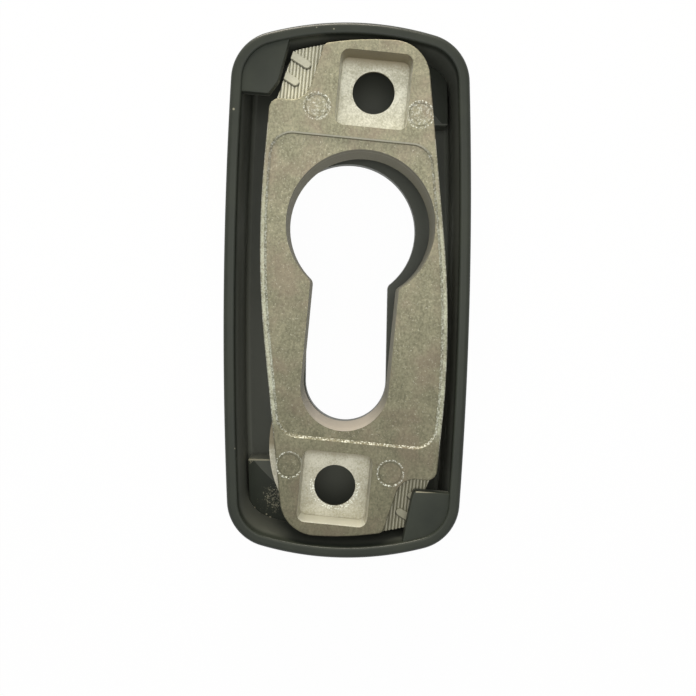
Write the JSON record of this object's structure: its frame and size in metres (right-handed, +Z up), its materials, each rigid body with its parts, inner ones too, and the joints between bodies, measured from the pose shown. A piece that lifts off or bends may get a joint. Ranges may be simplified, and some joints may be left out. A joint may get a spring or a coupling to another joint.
{
  "type": "keyhole escutcheon",
  "caption": "Oblong euro-profile keyhole escutcheon with a hollow black twist-on cover and a die-cast sub-plate with countersunk screw holes.",
  "frame": {"origin": "on the axis of the cover keyhole's round part, in the plane of the door's face where the cover's rim and the sub-plate's back lie", "axes": "+X to the right as seen from the room, +Y into the door along the lock cylinder's axis, +Z up along the cover's length"},
  "size_m": [0.0306, 0.0123, 0.0664],
  "materials": {
    "cover_black": "black satin moulded glass-filled polyamide",
    "zinc_alloy": "raw dull die-cast zinc alloy"
  },
  "bodies": {
    "sub_plate": {"base_plate": "zinc_alloy"},
    "cover_shell": {"cover": "cover_black"}
  },
  "joints": [
    {"name": "cover_twist", "type": "hinge", "parent": "sub_plate", "child": "cover_shell", "pos_m": [-0.00512, 0, -0.01937], "axis": [0, -1, 0], "range_deg": [0, 4.66]}
  ]
}
